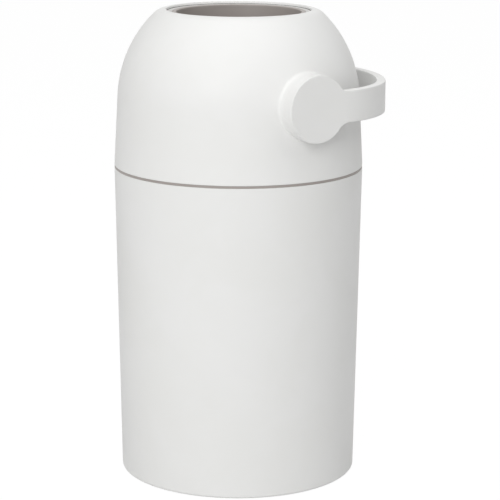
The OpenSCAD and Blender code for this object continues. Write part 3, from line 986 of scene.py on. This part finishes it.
    def _soft_foot(self, side: int) -> Object:
        """The round between a boss and the dome, as a ball leaves it that rolls along both.

        Args:
            side: 1 for the boss on +X, -1 for the other one.

        Returns:
            The closed ring.
        """
        s = self.sizes
        across, hidden = self.foot_steps, 3
        ops.mesh.primitive_torus_add(
            major_segments=self.foot_turns, minor_segments=across + hidden
        )
        ring = adopt_new("boss_foot")
        middle = Vector((0.0, 0.0, s.dome_mid_h))
        for number, vertex in enumerate(ring.data.vertices):
            turn = 2 * math.pi * (number // (across + hidden)) / self.foot_turns
            step = number % (across + hidden)
            outward = Vector((0.0, math.cos(turn), math.sin(turn)))
            ball = Vector((0.0, 0.0, s.pivot_h)) + outward * (s.hub_r + self.foot)
            ball.x = math.sqrt((s.dome_r + self.foot) ** 2 - (ball - middle).length_squared)
            to_boss, to_dome = -outward, (middle - ball).normalized()
            if step < across:
                place = ball + to_boss.slerp(to_dome, step / (across - 1)) * self.foot
            else:
                between = (to_boss + to_dome).normalized()
                corner = between / between.dot(to_boss)
                inward = (to_dome, corner, to_boss)[step - across]
                place = ball + inward * (self.foot + self.foot_sunk)
            vertex.co = Vector((place.x * side, place.y, place.z)) * MM
        face_outwards()
        return ring

    def shape(self) -> Object:
        """Turns the dome's section, raises the bosses, and adds what it carries inside."""
        s = self.sizes
        piece = lathe(self.name, self._outside() + self._inside(), closed=True)
        root_x = s.dome_r - s.dome_wall - s.hub_r / 2
        core_x, core_r = s.boss_x - s.boss_skin, s.hub_r - s.boss_skin
        boolean(piece, self.on_pivot("boss", root_x, s.boss_x, s.hub_r), "UNION")
        boolean(piece, self.on_pivot("core", root_x - OVERRUN, core_x, core_r), "DIFFERENCE")
        tools = [self.on_pivot("seat", s.bush_x, s.boss_x - OVERRUN, s.bush_flange_r)]
        for side in BOTH_SIDES:
            tools += self._boss_fittings(side)
        for tool in tools + self._rim_fittings():
            boolean(piece, tool, "UNION")
        for tool in self._bores():
            boolean(piece, tool, "DIFFERENCE")
        return join([piece, self._soft_foot(1), self._soft_foot(-1)])


@dataclass
class DrumRim(Piece):
    """The drum's upper half, whose soft rim shows inside the mouth in a darker white that paints in
    the shade under the lip.
    """

    name = "drum_top_moulding"
    body = "drum"
    nodes = ("drum_upper",)
    # Painted shade: a darker white that stands in for the shade under the mouth's lip.
    finish = "drum_white"
    boss_r: float = 15.95
    boss_x: float = 116.99
    key_x: float = 99.99
    key_out_x: float = 107.99
    key_w: float = 22.0
    pocket_wall: float = 3.0
    bore_r: float = 8.2
    soft_edge: float = 0.9
    rim_drop: float = 1.0
    cut_angle: float = -2.0
    outer_steps: int = 44
    inner_steps: int = 32

    def _square(self, name: str, side: int, near: float, far: float, width: float) -> Object:
        """A square bar on the handle's axis on one side of the bin.

        Args:
            name: the bar's name.
            side: 1 on +X, -1 on the other side.
            near: where it starts along X.
            far: where it ends.
            width: its width and height.

        Returns:
            The bar.
        """
        low, high = sorted((side * near, side * far))
        height, half = self.sizes.pivot_h, width / 2
        return block(name, (low, -half, height - half), (high, half, height + half))

    def _section(self) -> list[Point]:
        """Points of the section: outside, rim, seat of the cup and inside."""
        s = self.sizes
        middle, inner_r = (0.0, s.pivot_h), s.drum_r - s.drum_wall
        rim, seat = s.drum_rim_h, s.drum_rim_h - s.cup_wall
        under = seat - s.drum_wall
        hole_r = s.cup_r + s.cup_wall + s.seat_gap
        edge, mouth, mouth_seat = (s.drum_rim_r, rim), (s.cup_mouth_r, rim), (s.cup_mouth_r, seat)
        end = math.degrees(math.asin((rim - s.pivot_h - self.rim_drop) / s.drum_r))
        inner_end = math.degrees(math.asin((under - s.pivot_h) / inner_r))
        points = arc(middle, s.drum_r, self.cut_angle, end, self.outer_steps)
        points += rounded(edge, points[-1], mouth, self.soft_edge)
        points += rounded(mouth, edge, mouth_seat, self.soft_edge / 2, FEW_CHORDS)
        points += [mouth_seat, (hole_r, seat), (hole_r, under)]
        points += arc(middle, inner_r, inner_end, self.cut_angle, self.inner_steps)
        return points

    def shape(self) -> Object:
        """Turns the drum's section and adds the upper halves of the axle pockets."""
        s = self.sizes
        piece = lathe(self.name, self._section(), closed=True)
        pocket_in, pocket_w = self.key_x - self.pocket_wall, self.key_w + 2 * self.pocket_wall
        wall_x = math.sqrt(s.drum_r**2 - pocket_w**2 / 2) - OVERRUN
        room_in, room_out = self.key_x - s.seat_gap, self.key_out_x + s.seat_gap
        room_w = self.key_w + 2 * s.seat_gap
        boolean(piece, self.on_pivot("boss", self.key_out_x, self.boss_x, self.boss_r), "UNION")
        for side in BOTH_SIDES:
            boolean(piece, self._square("pocket", side, pocket_in, wall_x, pocket_w), "UNION")
            boolean(piece, self._square("room", side, room_in, room_out, room_w), "DIFFERENCE")
        bore = self.on_pivot("bore", self.key_x, self.boss_x + OVERRUN, self.bore_r)
        boolean(piece, bore, "DIFFERENCE")
        reach = 2 * s.drum_r
        upper = block("upper", (-reach, -reach, s.pivot_h), (reach, reach, s.lip_h + CLEAR))
        boolean(piece, upper, "INTERSECT")
        return piece


@dataclass
class Cup(Piece):
    """The grey cup that shows through the mouth."""

    name = "cup_moulding"
    body = "drum"
    nodes = ("drum_cup",)
    slot = "grey_plastic"
    screw_at: float = 22.0
    screw_hole_r: float = 1.95
    screw_count: int = 3
    soft_edge: float = 1.2
    foot_steps: int = 12

    def shape(self) -> Object:
        """Turns the cup's section and cuts the screw holes in its floor."""
        s = self.sizes
        low, rim, wall = s.cup_floor_h, s.drum_rim_h, s.cup_wall
        floor, seat = low + wall, rim - wall
        outer_r, flange_r = s.cup_r + wall, s.cup_mouth_r - s.seat_gap
        profile = soften([
            (0.0, low),
            (s.cup_base_r + wall, low, s.cup_round + wall, self.foot_steps),
            (outer_r, seat), (flange_r, seat),
            (flange_r, rim, self.soft_edge / 3, FEW_CHORDS),
            (s.cup_r, rim, self.soft_edge),
            (s.cup_base_r, floor, s.cup_round, self.foot_steps),
            (0.0, floor),
        ])
        piece = lathe(self.name, profile, closed=False)
        start = (self.screw_at, 0, low - OVERRUN)
        end = (self.screw_at, 0, floor + OVERRUN)
        for turn in range(self.screw_count):
            hole = rod("hole", start, end, self.screw_hole_r, Sides.SCREW_HOLE)
            boolean(piece, turned(hole, FULL_TURN * turn / self.screw_count), "DIFFERENCE")
        return piece


@dataclass
class Handle(Piece):
    """The grip band with its two hubs, one moulding with soft edges all round."""

    name = "handle_moulding"
    body = "drum"
    nodes = ("handle",)
    fillet: float = 9.5
    fillet_low: float = 14.0
    voxel: float = 0.9
    softness: int = 4
    blend: float = 0.5
    skirt_up: float = 0.25
    skirt_l: float = 4.0
    groove_half: float = 3.4
    groove_d: float = 4.0
    pocket_w: float = 11.23
    pocket_x: float = 135.9
    insert_x: float = 140.7
    insert_r: float = 3.15
    bend_steps: int = 48
    crown_steps: int = 44
    web_steps: int = 16
    groove_steps: int = 60
    end_steps: int = 12

    def _path(self, inset: float) -> list[Point]:
        """Points of the band's face in plan, from the hub on +X round to the other one.

        Args:
            inset: how far the face lies inside the band's outer face.

        Returns:
            The points.
        """
        s = self.sizes
        rise = s.grip_reach - s.grip_straight
        bend_r = s.hub_x - s.bend_in
        crown_r = (s.bend_in**2 + rise**2 - bend_r**2) / (2 * (rise - bend_r))
        middle = s.grip_reach - crown_r
        start = math.degrees(math.atan2(s.grip_straight - middle, s.bend_in))
        bend_mid = (s.bend_in, s.grip_straight)
        points = [(s.hub_x - inset, 0.0)]
        points += arc(bend_mid, bend_r - inset, 0.0, start, self.bend_steps)
        points += arc((0.0, middle), crown_r - inset, start, 90.0, self.crown_steps)[1:]
        return points + [(-x, y) for x, y in reversed(points[:-1])]

    def _web(self, side: int, radius: float) -> list[Point]:
        """Outline of the corner between a hub and the band, filled out to its round.

        Args:
            side: 1 above the band, -1 below it.
            radius: the round's radius.

        Returns:
            The outline in the plane of Y and Z, round the pivot.
        """
        s = self.sizes
        up = s.grip_h / 2 + radius
        ahead = math.sqrt((s.hub_r + radius) ** 2 - up**2)
        turn = math.degrees(math.atan2(up, ahead))
        points = arc((ahead, up), radius, 180 + turn, 270, self.web_steps)
        return [(0.0, 0.0)] + [(y, side * z) for y, z in points] + [(ahead, 0.0)]

    def _solid(self) -> Object:
        """The band, the hubs and their corners, melted into one soft form.

        Returns:
            The moulding without its cuts.
        """
        s = self.sizes
        low, high = s.pivot_h - s.grip_h / 2, s.pivot_h + s.grip_h / 2
        outline = self._path(0.0) + self._path(s.grip_t)[::-1]
        parts = [prism(self.name, outline, low, high, "Z")]
        for side in BOTH_SIDES:
            inner, outer = (side * s.hub_in_x, 0, s.pivot_h), (side * s.hub_x, 0, s.pivot_h)
            band_in, band_out = side * (s.hub_x - s.grip_t), side * s.hub_x
            parts.append(rod("hub", inner, outer, s.hub_r, Sides.HUB))
            for above, radius in ((1, self.fillet), (-1, self.fillet_low)):
                web = prism("web", self._web(above, radius), band_in, band_out, "X")
                parts.append(self.lift(web))
        piece = join(parts)
        apply_modifier(piece, "REMESH", mode="VOXEL", voxel_size=self.voxel * MM, adaptivity=0.0)
        apply_modifier(piece, "SMOOTH", factor=self.blend, iterations=self.softness)
        skirt_in, skirt_out = s.hub_in_x - self.skirt_up, s.hub_in_x + self.skirt_l
        boolean(piece, self.on_pivot("skirt", skirt_in, skirt_out, s.hub_r), "UNION")
        return piece

    def _groove(self) -> list[Point]:
        """Outline of the stop groove, half a turn round the pivot with round ends."""
        s = self.sizes
        half, middle = self.groove_half, (0.0, 0.0)
        points = arc(middle, s.stop_r + half, 270, 90, self.groove_steps)
        points += arc((0.0, s.stop_r), half, 90, -90, self.end_steps)[1:-1]
        points += arc(middle, s.stop_r - half, 90, 270, self.groove_steps)
        points += arc((0.0, -s.stop_r), half, 90, -90, self.end_steps)[1:-1]
        return points

    def shape(self) -> Object:
        """Melts the moulding together and cuts the grooves, the drive pockets and the bores."""
        s = self.sizes
        piece = self._solid()
        half = self.pocket_w / 2
        for side in BOTH_SIDES:
            face, groove_end = side * (s.hub_in_x - OVERRUN), side * (s.hub_in_x + self.groove_d)
            groove = prism("groove", self._groove(), face, groove_end, "X")
            boolean(piece, self.lift(groove), "DIFFERENCE")
            low, high = sorted((face, side * self.pocket_x))
            bottom, top = s.pivot_h - half, s.pivot_h + half
            pocket = block("pocket", (low, -half, bottom), (high, half, top))
            boolean(piece, pocket, "DIFFERENCE")
        bore = self.on_pivot("bore", self.pocket_x - OVERRUN, self.insert_x, self.insert_r)
        boolean(piece, bore, "DIFFERENCE")
        return piece


@dataclass(frozen=True)
class Lamp:
    """A round soft lamp that points at the bin."""

    name: str
    at: tuple[float, float, float]
    energy: float
    size: float = 2.2
    aim: tuple[float, float, float] = (0.0, 0.0, 0.3)

    def build(self) -> None:
        """Adds the lamp to the scene."""
        ops.object.light_add(type="AREA", location=self.at)
        lamp = bpy.context.object
        lamp.name = self.name
        lamp.data.shape = "DISK"
        lamp.data.size = self.size
        lamp.data.energy = self.energy
        ahead = Vector(self.aim) - Vector(self.at)
        lamp.rotation_euler = ahead.to_track_quat("-Z", "Y").to_euler()


@dataclass
class Studio:
    """White sweep, three broad soft lamps and an even surround."""

    floor_size: float = 60.0
    floor_tone: float = 0.75
    floor_glow: float = 1.04
    glow_share: float = 0.93
    surround: float = 0.42
    lamps: tuple[Lamp, ...] = (
        Lamp("key_lamp", (1.6, -2.5, 1.75), 55.0),
        Lamp("fill_lamp", (1.5, 1.2, 3.0), 18.0),
        Lamp("top_lamp", (0.2, 0.1, 3.4), 20.0),
    )

    def build(self) -> None:
        """Makes the floor, the world and the lamps."""
        self._floor()
        self._world()
        for lamp in self.lamps:
            lamp.build()

    def _floor(self) -> None:
        """A pale floor that shows white to the camera and keeps a faint shadow."""
        ops.mesh.primitive_plane_add(size=self.floor_size, location=(0, 0, 0))
        floor = adopt_new("floor")
        material = bpy.data.materials.new("studio_floor")
        material.use_nodes = True
        tree = material.node_tree
        shader = tree.nodes["Principled BSDF"]
        shader.inputs["Base Color"].default_value = (*(self.floor_tone,) * 3, 1.0)
        shader.inputs["Roughness"].default_value = 1.0
        shader.inputs["Specular IOR Level"].default_value = 0.0
        glow = add_node(tree, "ShaderNodeEmission", {"Strength": self.floor_glow})
        seen = self._seen(tree)
        share = add_node(tree, "ShaderNodeMath", {1: self.glow_share}, operation="MULTIPLY")
        mix = add_node(tree, "ShaderNodeMixShader")
        wire(
            tree,
            (seen, "Value", share, 0), (share, "Value", mix, "Fac"),
            (shader, "BSDF", mix, 1), (glow, "Emission", mix, 2),
            (mix, "Shader", tree.nodes["Material Output"], "Surface"),
        )
        floor.data.materials.append(material)

    @staticmethod
    def _seen(tree: NodeTree) -> Node:
        """Adds up the rays that show the background: camera, glossy and transmission.

        Args:
            tree: the tree to add the nodes to.

        Returns:
            The node whose Value is 1 for such a ray.
        """
        rays = add_node(tree, "ShaderNodeLightPath")
        first = add_node(tree, "ShaderNodeMath", operation="MAXIMUM")
        second = add_node(tree, "ShaderNodeMath", operation="MAXIMUM")
        wire(
            tree,
            (rays, "Is Camera Ray", first, 0), (rays, "Is Glossy Ray", first, 1),
            (first, "Value", second, 0), (rays, "Is Transmission Ray", second, 1),
        )
        return second

    def _world(self) -> None:
        """An even surround that lights the bin, white where the camera sees it."""
        world = bpy.data.worlds.new("studio")
        bpy.context.scene.world = world
        world.use_nodes = True
        tree = world.node_tree
        plain = (1.0, 1.0, 1.0, 1.0)
        lighting = tree.nodes["Background"]
        lighting.inputs["Color"].default_value = plain
        lighting.inputs["Strength"].default_value = self.surround
        white = add_node(tree, "ShaderNodeBackground", {"Color": plain, "Strength": 1.0})
        seen = self._seen(tree)
        mix = add_node(tree, "ShaderNodeMixShader")
        wire(
            tree,
            (seen, "Value", mix, "Fac"), (lighting, "Background", mix, 1),
            (white, "Background", mix, 2),
            (mix, "Shader", tree.nodes["World Output"], "Surface"),
        )


@dataclass
class PhotoCamera:
    """The camera fitted to the photograph's outline."""

    at: tuple[float, float, float] = (1.8142, -1.2492, 0.7359)
    forward: tuple[float, float, float] = (-0.8003, 0.5579, -0.2198)
    roll: float = 0.22
    lens: float = 150.5
    sensor: float = 36.0

    def build(self) -> None:
        """Makes the camera and gives it to the scene."""
        data = bpy.data.cameras.new("photo_camera")
        data.lens = self.lens
        data.sensor_width = self.sensor
        camera = bpy.data.objects.new("photo_camera", data)
        bpy.context.scene.collection.objects.link(camera)
        ahead = Vector(self.forward).normalized()
        level = ahead.cross(Vector((0, 0, 1))).normalized()
        above = level.cross(ahead)
        level_view = Matrix((level, above, -ahead)).transposed()
        facing = level_view @ Matrix.Rotation(math.radians(self.roll), 3, "Z")
        camera.matrix_world = Matrix.Translation(self.at) @ facing.to_4x4()
        bpy.context.scene.camera = camera


def main() -> None:
    """Builds the stage, the finishes and each sub-assembly."""
    logging.basicConfig(level=logging.INFO, format="%(name)s: %(message)s")
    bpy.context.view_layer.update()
    PhotoCamera().build()
    Studio().build()
    bpy.context.scene.view_settings.view_transform = "Standard"
    finishes = Finishes()
    finishes.dress_nodes()
    sizes = Sizes()
    for kind in (BodyShell, GreyRing, Dome, DrumRim, Cup, Handle):
        kind(sizes).build(finishes)
    deselect_all()


if __name__ == "__main__":
    main()
